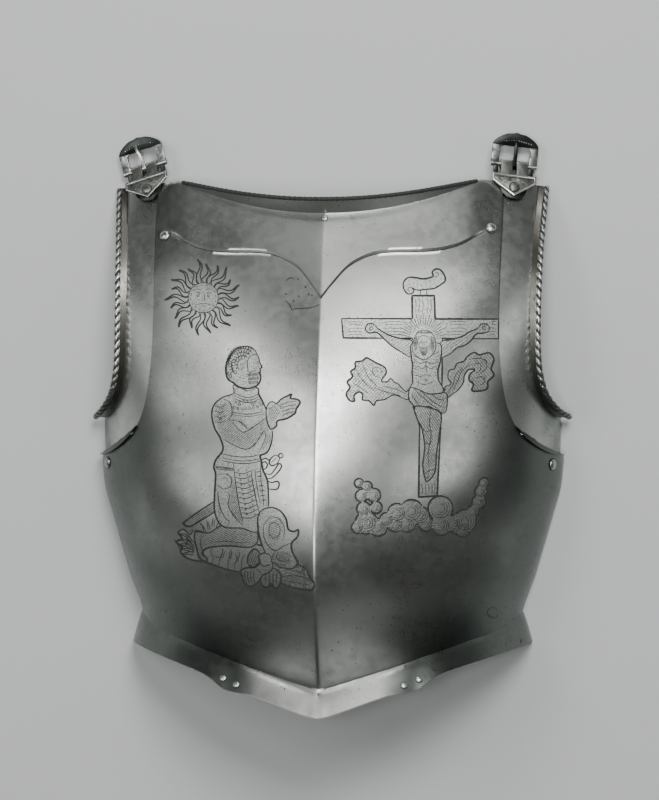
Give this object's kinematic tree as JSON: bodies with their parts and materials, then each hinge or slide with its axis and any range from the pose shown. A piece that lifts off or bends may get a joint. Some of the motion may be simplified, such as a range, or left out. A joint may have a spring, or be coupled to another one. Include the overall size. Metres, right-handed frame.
{
  "type": "breastplate of a cuirass",
  "caption": "Steel breastplate with a central keel, raised collar field, riveted armhole gussets with rolled edges, a pointed waist flange and hinged shoulder buckles.",
  "frame": {"origin": "centre of the box round the part, on the surface that it lies on", "axes": "+Y from the waist to the neck, +Z out of the breast, +X to the right of a viewer who faces the breast"},
  "size_m": [0.3776, 0.4496, 0.1499],
  "materials": {
    "plate_steel": "worn satin steel with fine scratches and small pits",
    "rivet_steel": "worn polished steel",
    "fitting_steel": "engraved satin steel",
    "dark_steel": "darkened steel"
  },
  "bodies": {
    "root": {"main_plate": "plate_steel", "gusset_left": "plate_steel", "gusset_right": "plate_steel", "gusset_rivet_upper_left": "rivet_steel", "gusset_rivet_upper_right": "rivet_steel", "gusset_rivet_lower_left": "rivet_steel", "gusset_rivet_lower_right": "rivet_steel", "neck_rivet": "rivet_steel", "flange_rivet_1": "rivet_steel", "flange_rivet_2": "rivet_steel", "flange_rivet_3": "rivet_steel", "flange_rivet_4": "rivet_steel", "hasp_rivet_left": "rivet_steel", "hasp_rivet_right": "rivet_steel"},
    "hasp_left": {"hasp_left": "fitting_steel"},
    "buckle_frame_left": {"buckle_frame_left": "dark_steel"},
    "tongue_left": {"tongue_left": "fitting_steel"},
    "hasp_right": {"hasp_right": "fitting_steel"},
    "buckle_frame_right": {"buckle_frame_right": "dark_steel"},
    "tongue_right": {"tongue_right": "fitting_steel"}
  },
  "joints": [
    {"name": "hasp_swivel_left", "type": "hinge", "parent": "root", "child": "hasp_left", "pos_m": [-0.143, 0.1802, 0.01795], "axis": [-0.2885, 0.3587, 0.8878], "range_deg": [-23, 0]},
    {"name": "buckle_hinge_left", "type": "hinge", "parent": "hasp_left", "child": "buckle_frame_left", "pos_m": [-0.14683, 0.19855, 0.00963], "axis": [0.9399, 0.283, 0.1911], "range_deg": [0, 55]},
    {"name": "tongue_hinge_left", "type": "hinge", "parent": "buckle_frame_left", "child": "tongue_left", "pos_m": [-0.14683, 0.19855, 0.00963], "axis": [0.9399, 0.283, 0.1911], "range_deg": [0, 45]},
    {"name": "hasp_swivel_right", "type": "hinge", "parent": "root", "child": "hasp_right", "pos_m": [0.143, 0.1802, 0.01795], "axis": [0.2885, 0.3587, 0.8878], "range_deg": [-10, 12]},
    {"name": "buckle_hinge_right", "type": "hinge", "parent": "hasp_right", "child": "buckle_frame_right", "pos_m": [0.14309, 0.19932, 0.01054], "axis": [0.9575, -0.1081, -0.2675], "range_deg": [0, 55]},
    {"name": "tongue_hinge_right", "type": "hinge", "parent": "buckle_frame_right", "child": "tongue_right", "pos_m": [0.14309, 0.19932, 0.01054], "axis": [0.9575, -0.1081, -0.2675], "range_deg": [0, 45]}
  ]
}
